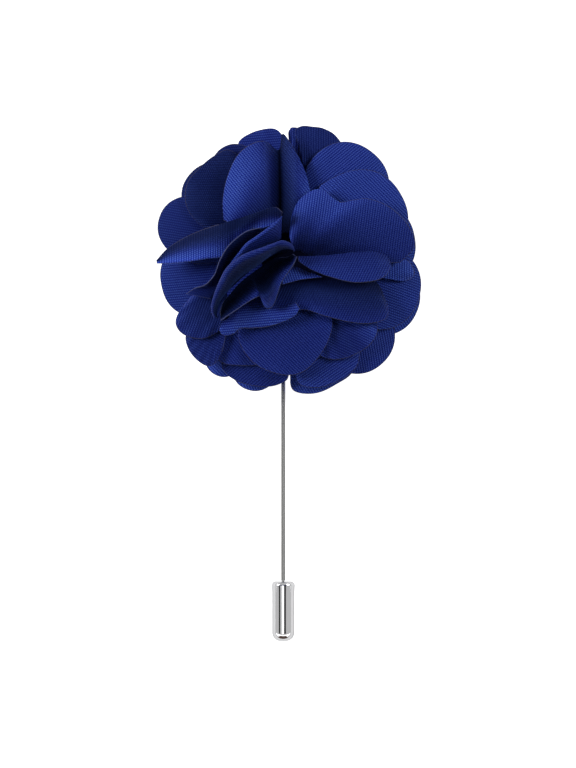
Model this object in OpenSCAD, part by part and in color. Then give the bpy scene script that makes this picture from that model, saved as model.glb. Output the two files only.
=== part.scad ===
// Flower lapel pin: a flower of folded satin petals on a felt back, with a
// soldered steel stem and a push-on cap over its needle. Millimetres.
// It lies on its back: +Z is out of the flower's face, and the stem runs along -Y.
// The origin is the middle of the felt back's flat face.

/* [Flower] */
// Radius of the open flower, which the petal tables count their lengths in
flower_r = 25; // [22:0.5:40]
// Thickness of a petal's wall
petal_wall = 1; // [0.6:0.1:1.2]
// Gap kept between a petal and the one above it
petal_gap = 0.3; // [0.2:0.05:0.6]
// Rise of a flat petal between its root and its highest ring
dome_h = 0.9; // [0.5:0.1:2]
// Height of the topmost fold, in petal levels
fold_levels = 13; // [13:0.5:18]

/* [Felt] */
// Diameter of the two felt discs
felt_d = 24; // [18:1:32]
// Thickness of the felt disc that the petals are sewn to
felt_base_t = 1.2; // [1:0.1:2]

/* [Pin] */
// Diameter of the stem
stem_d = 0.8; // [0.6:0.05:1.2]
// Distance from the flower's centre to the cap's mouth
stem_reach = 60.7; // [45:0.5:80]
// How far the stem lies to the left of the flower's centre
stem_aside = 0.9; // [0:0.1:2]
// Diameter of the glue pad that the stem is soldered to
pad_d = 10; // [8:0.5:14]
// Thickness of the glue pad
pad_t = 1; // [0.8:0.1:1.4]
// Width of the stem's flattened end
tang_w = 1.4; // [1:0.1:2]
// Thickness of the stem's flattened end
tang_t = 0.5; // [0.4:0.05:0.6]
// How far the flattened end reaches past the felt
tang_reach = 1.5; // [0.5:0.1:3]
// Diameter of the needle, where the cap covers it
needle_d = 0.4; // [0.3:0.05:0.8]
// Length of the needle with its point
needle_l = 9.3; // [7:0.1:10]
// Length of the needle's point
point_l = 2; // [1:0.1:3]

/* [Cap] */
// Diameter of the cap
cap_d = 4.2; // [4:0.1:6]
// How much wider the cap is at its collar
collar_flare = 0.2; // [0:0.05:0.4]
// Length of the collar's taper into the cap
collar_l = 1.2; // [0.5:0.1:3]
// Length of the cap
cap_l = 11.35; // [11:0.05:14]
// Radius of the round closed end
cap_end_r = 1.7; // [1:0.1:1.9]
// Radius of the round edge at the mouth
cap_mouth_r = 0.8; // [0.2:0.1:1.2]
// Clearance round the needle in the cap's bore
bore_clear = 0.05; // [0.02:0.01:0.1]
// Room past the needle's point in the bore
bore_room = 0.4; // [0.2:0.1:0.8]
// Gap between the stem's shoulder and the cap's mouth
mouth_gap = 0.1; // [0.05:0.05:0.4]

/* [Hidden] */
$fn = 48;
satin = [0.13, 0.21, 0.62];
satin_light = [0.20, 0.31, 0.75];
felt = [0.05, 0.06, 0.16];
steel = [0.72, 0.73, 0.75];
chrome = [0.82, 0.83, 0.85];

// Heights, from the surface that the felt and the cap lie on
level_h = petal_wall + petal_gap;
fold_h = fold_levels * level_h;
stem_z = (cap_d + collar_flare) / 2;
pad_z = stem_z - pad_t / 2;
felt_back_t = pad_z - petal_gap;
felt_base_z = pad_z + pad_t + petal_gap;
seat_z = felt_base_z + felt_base_t;
tang_end = felt_d / 2 + tang_reach;

// The flat petals lie on one low dome: shares of the flower's radius
root_ring = 0.20;
dome_ring = 0.55;
root_half_angle = 18;
lobe_sweep = 100;

// Cells round and along a petal
lobe_cells = [8, 5];
flat_cells = [10, 5];
fold_cells = [12, 6];

// Plain round petals. The lengths are shares of flower_r.
// name, angle, centre, reach past it, half width, squareness, level
ROUND_PETALS = [
    ["back_petal_upper_right",   52,  0.70, 0.325, 0.32, 2.2, 2],
    ["back_petal_right",         10,  0.60, 0.370, 0.32, 2.3, 1],
    ["middle_petal_upper_right", 30,  0.57, 0.410, 0.36, 2.3, 3],
    ["back_petal_lower_right",   338, 0.70, 0.350, 0.30, 2.2, 0],
    ["middle_petal_right",       343, 0.70, 0.330, 0.32, 2.2, 2],
    ["back_petal_bottom_right",  312, 0.70, 0.360, 0.30, 2.2, 1],
    ["back_petal_bottom_left",   237, 0.78, 0.250, 0.17, 2.2, 1],
    ["back_petal_bottom",        253, 0.72, 0.310, 0.21, 2.2, 0],
    ["back_petal_left_lower",    192, 0.62, 0.355, 0.30, 2.4, 0],
    ["back_petal_left",          162, 0.70, 0.320, 0.25, 2.2, 1],
    ["back_petal_upper_left",    139, 0.70, 0.280, 0.25, 2.2, 0],
    ["back_petal_top_left",      120, 0.70, 0.275, 0.20, 2.2, 1]
];

// Flat petals of a freer outline: name, level, root's first and last point,
// and the rim's points, one for each section. Shares of flower_r.
RIM_PETALS = [
    ["back_petal_top", 0, [-0.07, 0.20], [-0.03, 0.20],
        [[-0.39, 0.81], [-0.365, 0.895], [-0.285, 0.95], [-0.20, 0.978], [-0.12, 0.987],
         [-0.07, 0.967], [-0.035, 0.92], [-0.013, 0.86]]],
    ["under_petal_top_right", 0, [0.06, 0.20], [0.085, 0.19],
        [[0.008, 0.89], [0.006, 0.955], [0.02, 0.99], [0.05, 0.995], [0.10, 0.985],
         [0.20, 0.95], [0.28, 0.80]]],
    ["back_petal_top_right", 1, [0.21, 0.36], [0.25, 0.34],
        [[0.055, 0.93], [0.06, 0.98], [0.11, 1.005], [0.18, 1.00], [0.27, 0.985],
         [0.365, 0.925], [0.45, 0.78], [0.46, 0.62]]],
    ["middle_petal_upper_left", 2, [-0.28, 0.12], [-0.15, 0.26],
        [[-0.60, 0.20], [-0.73, 0.33], [-0.775, 0.45], [-0.755, 0.58], [-0.675, 0.68],
         [-0.57, 0.77], [-0.46, 0.825], [-0.37, 0.78]]],
    ["under_petal_bottom_right", 0, [0.04, -0.20], [0.10, -0.18],
        [[0.012, -0.70], [0.015, -0.87], [0.022, -0.96], [0.06, -1.00], [0.15, -1.015],
         [0.25, -1.00], [0.36, -0.945], [0.48, -0.86], [0.52, -0.72]]],
    ["middle_petal_bottom_right", 2, [0.06, -0.20], [0.12, -0.17],
        [[0.05, -0.66], [0.055, -0.84], [0.075, -0.925], [0.13, -0.96], [0.24, -0.965],
         [0.34, -0.935], [0.44, -0.885], [0.52, -0.80], [0.55, -0.66]]],
    ["middle_petal_bottom_left", 2, [-0.12, -0.16], [-0.03, -0.20],
        [[-0.50, -0.68], [-0.495, -0.82], [-0.41, -0.905], [-0.28, -0.95],
         [-0.14, -0.96], [-0.04, -0.93], [0.005, -0.88], [0.012, -0.72]]],
    ["ribbed_petal_bottom_right", 3, [0.06, -0.19], [0.14, -0.14],
        [[0.20, -0.70], [0.30, -0.75], [0.41, -0.75], [0.52, -0.71],
         [0.61, -0.65], [0.665, -0.57], [0.67, -0.49], [0.62, -0.40]]],
    ["shaded_petal_bottom_left", 3, [-0.12, -0.16], [-0.06, -0.19],
        [[-0.46, -0.50], [-0.53, -0.66], [-0.53, -0.75], [-0.47, -0.79],
         [-0.37, -0.80], [-0.26, -0.80], [-0.18, -0.77], [-0.125, -0.66]]],
    ["front_petal_bottom", 4, [-0.11, -0.17], [0.11, -0.17],
        [[-0.37, -0.46], [-0.375, -0.58], [-0.34, -0.68], [-0.26, -0.78],
         [-0.14, -0.845], [0.00, -0.875], [0.12, -0.845], [0.22, -0.75],
         [0.30, -0.62], [0.335, -0.48], [0.30, -0.36]]],
    ["ribbed_petal_lower_left", 4, [-0.50, -0.34], [-0.44, -0.42],
        [[-0.72, -0.49], [-0.77, -0.58], [-0.75, -0.675], [-0.69, -0.755],
         [-0.61, -0.805], [-0.545, -0.785], [-0.495, -0.70]]],
    ["ribbed_petal_left", 5, [-0.50, -0.12], [-0.44, -0.33],
        [[-0.65, -0.205], [-0.74, -0.295], [-0.82, -0.40], [-0.845, -0.48], [-0.81, -0.55],
         [-0.735, -0.59], [-0.65, -0.60], [-0.57, -0.575], [-0.505, -0.525], [-0.47, -0.45]]],
    ["leaf_right_small", 3, [0.61, -0.125], [0.61, -0.08],
        [[0.78, -0.155], [0.87, -0.165], [0.935, -0.14], [0.95, -0.09],
         [0.90, -0.01], [0.80, -0.02]]]
];

// Folded petals, a row for each section from its root to its rim.
// root x, root y (shares of flower_r), root height (share of fold_h),
// rim x, rim y, rim height, bow (share of the section's own length).
// A number after the rows makes each section rise late, from a flatter floor.
FOLDED_PETALS = [
    ["front_petal_upper_right",
        [[0.20, -0.02, 0.39, 0.84, -0.03, 0.40, 0.07],
         [0.19, -0.01, 0.39, 0.955, 0.10, 0.39, 0.08],
         [0.18, 0.01, 0.40, 0.90, 0.26, 0.43, 0.09],
         [0.17, 0.02, 0.40, 0.77, 0.385, 0.47, 0.10],
         [0.15, 0.03, 0.41, 0.61, 0.45, 0.50, 0.11],
         [0.13, 0.04, 0.41, 0.48, 0.44, 0.50, 0.13],
         [0.11, 0.05, 0.41, 0.38, 0.43, 0.50, 0.14],
         [0.09, 0.06, 0.42, 0.24, 0.525, 0.49, 0.15],
         [0.07, 0.06, 0.42, 0.10, 0.46, 0.48, 0.16],
         [0.055, 0.06, 0.43, 0.03, 0.33, 0.46, 0.16],
         [0.045, 0.05, 0.43, 0.01, 0.17, 0.45, 0.12]]],
    ["leaf_right",
        [[0.07, 0.02, 0.61, 0.08, -0.02, 0.64, 0.05],
         [0.18, 0.02, 0.61, 0.19, -0.09, 0.65, 0.08],
         [0.33, 0.03, 0.60, 0.34, -0.145, 0.65, 0.10],
         [0.50, 0.05, 0.58, 0.50, -0.18, 0.63, 0.10],
         [0.64, 0.055, 0.56, 0.66, -0.165, 0.59, 0.10],
         [0.73, 0.03, 0.53, 0.74, -0.12, 0.55, 0.08],
         [0.77, -0.02, 0.52, 0.77, -0.06, 0.53, 0.05]]],
    ["leaf_lower_right",
        [[-0.10, -0.16, 0.46, -0.125, -0.325, 0.485, 0.03],
         [0.01, -0.14, 0.455, 0.02, -0.36, 0.50, 0.06],
         [0.12, -0.12, 0.45, 0.14, -0.385, 0.50, 0.08],
         [0.28, -0.12, 0.45, 0.28, -0.43, 0.52, 0.08],
         [0.45, -0.12, 0.44, 0.46, -0.475, 0.49, 0.08],
         [0.58, -0.14, 0.41, 0.62, -0.485, 0.44, 0.08],
         [0.66, -0.17, 0.39, 0.74, -0.445, 0.40, 0.07],
         [0.70, -0.22, 0.38, 0.755, -0.36, 0.38, 0.05]]],
    ["wedge_centre",
        [[-0.03, -0.07, 0.52, -0.045, -0.195, 0.57, 0.05],
         [0.02, -0.06, 0.51, 0.03, -0.175, 0.57, 0.08],
         [0.08, -0.065, 0.51, 0.09, -0.158, 0.57, 0.08],
         [0.14, -0.095, 0.52, 0.16, -0.148, 0.56, 0.05],
         [0.20, -0.115, 0.53, 0.26, -0.136, 0.55, 0.00]]],
    ["tongue_centre",
        [[-0.513, -0.51, 0.60, -0.517, -0.535, 0.595, 0.00],
         [-0.49, -0.475, 0.60, -0.485, -0.575, 0.585, 0.10],
         [-0.43, -0.43, 0.58, -0.41, -0.565, 0.575, 0.12],
         [-0.37, -0.36, 0.55, -0.36, -0.525, 0.56, 0.10],
         [-0.27, -0.29, 0.53, -0.27, -0.522, 0.54, 0.08],
         [-0.15, -0.29, 0.54, -0.15, -0.51, 0.535, 0.08],
         [-0.06, -0.365, 0.565, -0.04, -0.475, 0.55, 0.10],
         [0.01, -0.345, 0.58, 0.05, -0.43, 0.575, 0.10],
         [0.055, -0.325, 0.60, 0.088, -0.375, 0.60, 0.05]]],
    ["cup_front",
        [[0.035, 0.03, 0.74, 0.062, 0.015, 0.84, 0.00],
         [-0.01, 0.01, 0.64, 0.038, -0.045, 0.78, 0.10],
         [-0.075, 0.005, 0.57, 0.005, -0.10, 0.73, 0.18],
         [-0.14, -0.015, 0.54, -0.05, -0.185, 0.69, 0.22],
         [-0.19, -0.05, 0.53, -0.10, -0.335, 0.61, 0.42],
         [-0.23, -0.08, 0.53, -0.145, -0.378, 0.60, 0.46],
         [-0.265, -0.105, 0.53, -0.185, -0.35, 0.62, 0.42],
         [-0.30, -0.13, 0.54, -0.205, -0.285, 0.70, 0.24],
         [-0.37, -0.19, 0.57, -0.29, -0.32, 0.74, 0.15],
         [-0.43, -0.26, 0.60, -0.375, -0.375, 0.76, 0.10],
         [-0.485, -0.33, 0.64, -0.46, -0.43, 0.77, 0.05],
         [-0.505, -0.40, 0.69, -0.505, -0.46, 0.77, 0.00]], 2.0],
    ["cup_back",
        [[0.00, 0.07, 0.74, 0.05, 0.06, 0.92, 0.00],
         [-0.05, 0.06, 0.62, 0.03, 0.105, 0.95, 0.05],
         [-0.10, 0.035, 0.57, -0.04, 0.135, 0.98, 0.10],
         [-0.155, 0.00, 0.54, -0.115, 0.112, 1.00, 0.12],
         [-0.215, -0.04, 0.53, -0.20, 0.08, 1.00, 0.14],
         [-0.275, -0.085, 0.53, -0.295, 0.047, 0.99, 0.16],
         [-0.335, -0.135, 0.55, -0.385, 0.00, 0.97, 0.16],
         [-0.395, -0.19, 0.58, -0.465, -0.075, 0.93, 0.16],
         [-0.455, -0.25, 0.61, -0.52, -0.18, 0.88, 0.14],
         [-0.51, -0.33, 0.65, -0.565, -0.30, 0.83, 0.10],
         [-0.535, -0.40, 0.69, -0.577, -0.385, 0.79, 0.06],
         [-0.53, -0.44, 0.71, -0.555, -0.445, 0.76, 0.00]], 2.2],
    ["fold_inner_left",
        [[-0.05, 0.15, 0.60, -0.045, 0.32, 0.78, 0.10],
         [-0.07, 0.14, 0.59, -0.10, 0.27, 0.82, 0.16],
         [-0.12, 0.12, 0.58, -0.18, 0.21, 0.83, 0.16],
         [-0.20, 0.09, 0.58, -0.25, 0.16, 0.82, 0.16],
         [-0.28, 0.055, 0.61, -0.32, 0.11, 0.80, 0.18],
         [-0.35, 0.00, 0.65, -0.375, 0.04, 0.77, 0.10],
         [-0.42, -0.07, 0.66, -0.43, -0.03, 0.72, 0.00]]],
    ["fold_outer_left",
        [[-0.19, 0.18, 0.58, -0.205, 0.228, 0.68, 0.00],
         [-0.25, 0.14, 0.55, -0.31, 0.20, 0.73, 0.00],
         [-0.32, 0.08, 0.55, -0.40, 0.135, 0.75, 0.00],
         [-0.38, 0.01, 0.55, -0.46, 0.07, 0.75, 0.00],
         [-0.42, -0.06, 0.55, -0.51, -0.02, 0.73, 0.00],
         [-0.46, -0.12, 0.57, -0.55, -0.125, 0.70, 0.00],
         [-0.50, -0.18, 0.60, -0.62, -0.20, 0.68, 0.00],
         [-0.54, -0.24, 0.61, -0.70, -0.225, 0.64, 0.00],
         [-0.58, -0.30, 0.62, -0.765, -0.265, 0.61, 0.00]], 1.8],
    ["flap_left",
        [[-0.985, -0.035, 0.33, -0.99, -0.01, 0.33, 0.00],
         [-0.87, -0.035, 0.38, -0.90, 0.085, 0.33, 0.05],
         [-0.73, -0.02, 0.44, -0.75, 0.175, 0.38, 0.08],
         [-0.60, 0.00, 0.49, -0.60, 0.235, 0.45, 0.08],
         [-0.48, 0.02, 0.51, -0.46, 0.275, 0.54, 0.06],
         [-0.42, 0.10, 0.51, -0.33, 0.315, 0.55, 0.06],
         [-0.28, 0.20, 0.50, -0.20, 0.36, 0.63, 0.05],
         [-0.15, 0.24, 0.58, -0.10, 0.385, 0.70, 0.05],
         [-0.06, 0.27, 0.63, -0.045, 0.345, 0.73, 0.00]]],
    ["folded_petal_top",
        [[-0.34, 0.22, 0.41, -0.485, 0.29, 0.44, 0.05],
         [-0.30, 0.22, 0.40, -0.49, 0.45, 0.44, 0.08],
         [-0.25, 0.21, 0.39, -0.455, 0.62, 0.43, 0.10],
         [-0.20, 0.21, 0.36, -0.38, 0.78, 0.40, 0.10],
         [-0.15, 0.20, 0.34, -0.275, 0.865, 0.36, 0.09],
         [-0.10, 0.20, 0.30, -0.17, 0.885, 0.33, 0.07],
         [-0.06, 0.20, 0.26, -0.07, 0.82, 0.24, 0.00],
         [-0.045, 0.20, 0.27, -0.045, 0.94, 0.265, 0.01],
         [-0.02, 0.20, 0.31, 0.01, 0.885, 0.31, 0.03],
         [0.01, 0.20, 0.34, 0.075, 0.775, 0.37, 0.05],
         [0.03, 0.20, 0.34, 0.13, 0.655, 0.40, 0.06],
         [0.05, 0.20, 0.34, 0.17, 0.50, 0.39, 0.05]]]
];

NAME = 0;

// Height of a flat petal's face at ring r, a share of flower_r
function dome_z(r, level) =
    seat_z + (level + 1) * level_h
    + dome_h * (1 - pow((r - dome_ring) / (dome_ring - root_ring), 2));

// A smooth curve through the rows of a table, at u from 0 to 1
function spline(a, b, c, d, t) =
    0.5 * (2 * b + (c - a) * t + (2 * a - 5 * b + 4 * c - d) * t * t
    + (3 * b - a - 3 * c + d) * t * t * t);
function row_at(rows, u) =
    let (last = len(rows) - 1,
         i = min(floor(u * last), last - 1),
         t = u * last - i,
         b = rows[i],
         c = rows[i + 1],
         a = i > 0 ? rows[i - 1] : 2 * b - c,
         d = i + 2 <= last ? rows[i + 2] : 2 * c - b)
    spline(a, b, c, d, t);

function polar(angle, r) = r * [cos(angle), sin(angle)];

// Power of a sine or cosine that keeps its sign, for a squarer round
function soft_pow(x, square) = sign(x) * pow(abs(x), 2 / square);

// A point of a flat petal, t of the way from its root to its rim
function flat_point(root, rim, t, level) =
    let (p = root + t * (rim - root))
    [p.x * flower_r, p.y * flower_r, dome_z(norm(p), level)];

function round_grid(row) =
    let (angle = row[1], centre = row[2], reach = row[3],
         half_w = row[4], square = row[5], level = row[6])
    [for (i = [0:lobe_cells[0]])
        let (f = 2 * i / lobe_cells[0] - 1,
             rim = polar(angle, centre + reach * soft_pow(cos(lobe_sweep * f), square))
                 + polar(angle + 90, half_w * soft_pow(sin(lobe_sweep * f), square)),
             root = polar(angle + f * root_half_angle, root_ring))
        [for (j = [0:lobe_cells[1]]) flat_point(root, rim, j / lobe_cells[1], level)]];

function rim_grid(row) =
    let (level = row[1], first = row[2], last = row[3], rims = row[4])
    [for (i = [0:flat_cells[0]])
        let (u = i / flat_cells[0],
             root = first + u * (last - first),
             rim = row_at(rims, u))
        [for (j = [0:flat_cells[1]]) flat_point(root, rim, j / flat_cells[1], level)]];

// A point of a folded petal's section, which bows in its own upright plane
function fold_point(s, t, late) =
    let (root = [s[0] * flower_r, s[1] * flower_r, seat_z + s[2] * fold_h],
         rim = [s[3] * flower_r, s[4] * flower_r, seat_z + s[5] * fold_h],
         run = rim - root,
         flat = norm([run.x, run.y]),
         up = [-run.x * run.z / flat, -run.y * run.z / flat, flat],
         h = pow(t, late))
    root + [t * run.x, t * run.y, h * run.z] + 4 * h * (1 - h) * s[6] * up;

function fold_grid(row) =
    let (late = len(row) > 2 ? row[2] : 1)
    [for (i = [0:fold_cells[0]])
        let (s = row_at(row[1], i / fold_cells[0]))
        [for (j = [0:fold_cells[1]]) fold_point(s, j / fold_cells[1], late)]];

// Unit normal of a grid at cell corner i, j
function grid_normal(g, i, j) =
    let (m = len(g) - 1,
         n = len(g[0]) - 1,
         across = g[min(i + 1, m)][j] - g[max(i - 1, 0)][j],
         along = g[i][min(j + 1, n)] - g[i][max(j - 1, 0)],
         c = cross(across, along))
    c / norm(c);

function reversed(g) = [for (i = [len(g) - 1:-1:0]) g[i]];

// A grid whose normals point up
function face_up(g) =
    let (heights = [for (i = [0:len(g) - 1]) for (j = [0:len(g[0]) - 1]) grid_normal(g, i, j).z])
    heights * [for (h = heights) 1] > 0 ? g : reversed(g);

// A closed wall of petal_wall below the grid: straight down, or square to the sheet
module wall(grid, straight_down) {
    g = face_up(grid);
    m = len(g);
    n = len(g[0]);
    face = [for (i = [0:m - 1]) for (j = [0:n - 1]) g[i][j]];
    back = [for (i = [0:m - 1]) for (j = [0:n - 1])
        g[i][j] - petal_wall * (straight_down ? [0, 0, 1] : grid_normal(g, i, j))];
    below = m * n;
    cells = [for (i = [0:m - 2]) for (j = [0:n - 2]) i * n + j];
    border = concat(
        [for (j = [0:n - 2]) j],
        [for (i = [0:m - 2]) i * n + n - 1],
        [for (j = [n - 1:-1:1]) (m - 1) * n + j],
        [for (i = [m - 1:-1:1]) i * n]
    );
    polyhedron(
        points = concat(face, back),
        faces = concat(
            [for (k = cells) each [[k, k + 1, k + n + 1], [k, k + n + 1, k + n]]],
            [for (k = cells) each [[k + below, k + n + 1 + below, k + 1 + below],
                                   [k + below, k + n + below, k + n + 1 + below]]],
            [for (k = [0:len(border) - 1])
                let (p = border[k], q = border[(k + 1) % len(border)])
                each [[q, p, p + below], [q, p + below, q + below]]]
        ),
        convexity = 6
    );
}

module round_petal(row) {
    color(satin) wall(round_grid(row), true);
}

module rim_petal(row) {
    color(satin) wall(rim_grid(row), true);
}

module folded_petal(row) {
    color(satin_light) wall(fold_grid(row), false);
}

// The felt that covers the pad, with its flat face at the origin
module felt_back() {
    color(felt) cylinder(h = felt_back_t, d = felt_d);
}

// The felt that the petals are sewn to
module felt_base() {
    color(felt) translate([0, 0, felt_base_z]) cylinder(h = felt_base_t, d = felt_d);
}

// Stem, needle and glue pad, soldered into one piece
module pin() {
    straight_l = stem_reach - tang_end - mouth_gap;
    color(steel) {
        translate([0, 0, pad_z]) cylinder(h = pad_t, d = pad_d);
        translate([-stem_aside - tang_w / 2, -tang_end, stem_z - tang_t / 2])
            cube([tang_w, tang_end, tang_t]);
        translate([-stem_aside, -tang_end, stem_z]) rotate([90, 0, 0]) {
            cylinder(h = straight_l, d = stem_d);
            cylinder(h = straight_l + needle_l - point_l, d = needle_d);
            translate([0, 0, straight_l + needle_l - point_l])
                cylinder(h = point_l, d1 = needle_d, d2 = needle_d / 5);
        }
    }
}

// Half of the cap's outline, from its mouth to its closed end
module cap_profile() {
    body_r = cap_d / 2;
    collar_r = body_r + collar_flare / 2;
    square([collar_r - cap_mouth_r, cap_mouth_r]);
    intersection() {
        translate([collar_r - cap_mouth_r, cap_mouth_r]) circle(r = cap_mouth_r);
        square([collar_r, cap_mouth_r]);
    }
    polygon([
        [0, cap_mouth_r], [collar_r, cap_mouth_r], [body_r, cap_mouth_r + collar_l],
        [body_r, cap_l - cap_end_r], [0, cap_l - cap_end_r]
    ]);
    translate([0, cap_l - cap_end_r]) {
        square([body_r - cap_end_r, cap_end_r]);
        intersection() {
            translate([body_r - cap_end_r, 0]) circle(r = cap_end_r);
            square([body_r, cap_end_r]);
        }
    }
}

// The push-on cap, round at both ends and bored for the needle
module pin_cap() {
    color(chrome) translate([-stem_aside, -stem_reach, stem_z]) rotate([90, 0, 0])
        difference() {
            rotate_extrude() cap_profile();
            translate([0, 0, -1]) cylinder(h = needle_l + bore_room + 1, d = needle_d + 2 * bore_clear);
        }
}

felt_back();
pin();
pin_cap();
felt_base();
for (row = ROUND_PETALS) round_petal(row);
for (row = RIM_PETALS) rim_petal(row);
for (row = FOLDED_PETALS) folded_petal(row);
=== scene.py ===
import bpy
import math
import numpy as np
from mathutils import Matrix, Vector


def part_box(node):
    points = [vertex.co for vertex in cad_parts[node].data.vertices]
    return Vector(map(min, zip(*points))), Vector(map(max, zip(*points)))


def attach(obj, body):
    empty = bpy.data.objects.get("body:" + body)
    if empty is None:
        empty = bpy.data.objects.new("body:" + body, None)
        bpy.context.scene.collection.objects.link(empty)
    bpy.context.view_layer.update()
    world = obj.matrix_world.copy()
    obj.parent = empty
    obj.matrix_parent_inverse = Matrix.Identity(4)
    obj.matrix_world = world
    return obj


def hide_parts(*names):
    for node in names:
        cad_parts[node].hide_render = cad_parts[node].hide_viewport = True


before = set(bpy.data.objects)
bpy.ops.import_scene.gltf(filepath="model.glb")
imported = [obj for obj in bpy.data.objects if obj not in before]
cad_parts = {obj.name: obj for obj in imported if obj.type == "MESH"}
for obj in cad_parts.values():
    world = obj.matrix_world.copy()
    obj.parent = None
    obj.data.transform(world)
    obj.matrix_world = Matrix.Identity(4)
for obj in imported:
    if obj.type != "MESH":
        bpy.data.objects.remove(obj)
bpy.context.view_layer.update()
mm = 0.001
print("frame loaded:", len(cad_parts), "nodes")

# sizes that the flower follows; shares are of its radius
flower = {
    "radius": 25 * mm,
    "clothGap": 1.3 * mm,         # height of one level of flat petals
    "domeHeight": 0.9 * mm,
    "domeRing": 0.55,             # share where the flat petals stand highest
    "rootRing": 0.20,
    "rootHalfAngle": 18,
    "lobeSweep": 100,
    "droop": 0.45 * mm,           # how far a flat petal's rim hangs
    "droopPower": 6,
    "wave": 0.16,                 # mm, for a flat petal that says no other
    "waves": 2.5,
    "wavePower": 3,
    "foldLevels": 13,             # height of the folded petals, in levels
    "clothThickness": 0.20 * mm,
    "edgeWidth": 0.08 * mm,       # the heat-sealed edge
    "flatSteps": (40, 22),        # mesh steps from side to side, and from root to rim
    "foldSteps": (72, 24),
}
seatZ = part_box("felt_base")[1].z
foldHeight = flower["foldLevels"] * flower["clothGap"]

# straight above, as the pin lies on its back
camera = {
    "lens": 500,
    "sensor": 36,
    "frameHeight": 144.4 * mm,
    "centreY": -23.5 * mm,
    "focusZ": 9 * mm,
    "clip": (0.05, 20),
}


def makeCamera(spec):
    data = bpy.data.cameras.new("Camera")
    data.lens = spec["lens"]
    data.sensor_width = spec["sensor"]
    data.clip_start, data.clip_end = spec["clip"]
    distance = spec["frameHeight"] * spec["lens"] / spec["sensor"]
    cam = bpy.data.objects.new("Camera", data)
    cam.location = (0, spec["centreY"], spec["focusZ"] + distance)
    bpy.context.scene.collection.objects.link(cam)
    bpy.context.scene.camera = cam


makeCamera(camera)
print("camera made")


def newGroup(name, inputs, outputs):
    group = bpy.data.node_groups.new(name, "ShaderNodeTree")
    for label, kind, value in inputs:
        socket = group.interface.new_socket(label, in_out="INPUT", socket_type=kind)
        if value is not None:
            socket.default_value = value
    for label, kind in outputs:
        group.interface.new_socket(label, in_out="OUTPUT", socket_type=kind)
    start = group.nodes.new("NodeGroupInput")
    end = group.nodes.new("NodeGroupOutput")
    return group, start, end


def mathNode(tree, operation, a, b=None, clamp=False):
    node = tree.nodes.new("ShaderNodeMath")
    node.operation = operation
    node.use_clamp = clamp
    for socket, value in zip(node.inputs, (a, b)):
        if value is None:
            continue
        if isinstance(value, (int, float)):
            socket.default_value = value
        else:
            tree.links.new(value, socket)
    return node.outputs[0]


def noiseNode(tree, vector, scale, detail):
    node = tree.nodes.new("ShaderNodeTexNoise")
    node.inputs["Scale"].default_value = scale
    node.inputs["Detail"].default_value = detail
    if vector is not None:
        tree.links.new(vector, node.inputs["Vector"])
    return node.outputs[0]


twill = {
    "ribHeight": 0.46,            # how much the ribs and the threads across them stand out
    "crossHeight": 0.32,
    "driftScale": 0.55, "driftDetail": 2,
    "mottleScale": 2.4, "mottleDetail": 4,
}


def makeTwillGroup(spec):
    # ribs along V at a pitch in millimetres, crossed by finer threads
    group, start, end = newGroup(
        "twillWeave",
        [("Vector", "NodeSocketVector", None), ("Pitch", "NodeSocketFloat", 0.5),
         ("Thread Share", "NodeSocketFloat", 0.7), ("Wander", "NodeSocketFloat", 0.12)],
        [("Height", "NodeSocketFloat"), ("Valley", "NodeSocketFloat"),
         ("Mottle", "NodeSocketFloat")])
    vector, pitch = start.outputs["Vector"], start.outputs["Pitch"]
    split = group.nodes.new("ShaderNodeSeparateXYZ")
    group.links.new(vector, split.inputs[0])
    noise = noiseNode(group, vector, spec["driftScale"], spec["driftDetail"])
    wobble = mathNode(group, "SUBTRACT", noise, 0.5)
    drift = mathNode(group, "MULTIPLY", wobble, start.outputs["Wander"])
    across = mathNode(group, "DIVIDE", mathNode(group, "ADD", split.outputs[0], drift), pitch)
    rib = mathNode(group, "COSINE", mathNode(group, "MULTIPLY", across, 2 * math.pi))
    length = mathNode(group, "MULTIPLY", pitch, start.outputs["Thread Share"])
    along = mathNode(group, "DIVIDE", split.outputs[1], length)
    # each rib's threads are set off by half a thread from the last rib's
    ribNumber = mathNode(group, "FLOOR", mathNode(group, "ADD", across, 0.5))
    shifted = mathNode(group, "ADD", along, mathNode(group, "MULTIPLY", ribNumber, 0.5))
    cross = mathNode(group, "COSINE", mathNode(group, "MULTIPLY", shifted, 2 * math.pi))
    height = mathNode(group, "ADD", mathNode(group, "MULTIPLY", rib, spec["ribHeight"]),
                      mathNode(group, "MULTIPLY", cross, spec["crossHeight"]))
    height = mathNode(group, "ADD", height, 0.5, clamp=True)
    mottle = noiseNode(group, vector, spec["mottleScale"], spec["mottleDetail"])
    group.links.new(height, end.inputs["Height"])
    group.links.new(mathNode(group, "SUBTRACT", 1.0, height, clamp=True), end.inputs["Valley"])
    group.links.new(mottle, end.inputs["Mottle"])
    return group


twillGroup = makeTwillGroup(twill)


def newMaterial(name):
    material = bpy.data.materials.new(name)
    material.use_nodes = True
    tree = material.node_tree
    return material, tree, tree.nodes["Principled BSDF"]


def mixColour(tree, factor, a, b):
    node = tree.nodes.new("ShaderNodeMix")
    node.data_type = "RGBA"
    for socket, value in ((node.inputs[0], factor), (node.inputs[6], a), (node.inputs[7], b)):
        if isinstance(value, tuple):
            socket.default_value = (*value, 1)
        elif isinstance(value, (int, float)):
            socket.default_value = value
        else:
            tree.links.new(value, socket)
    return node.outputs[2]


def vectorNode(tree, operation, colour, socketName, value):
    node = tree.nodes.new("ShaderNodeVectorMath")
    node.operation = operation
    tree.links.new(colour, node.inputs[0])
    if isinstance(value, tuple):
        node.inputs[socketName].default_value = value
    else:
        tree.links.new(value, node.inputs[socketName])
    return node.outputs[0]


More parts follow.
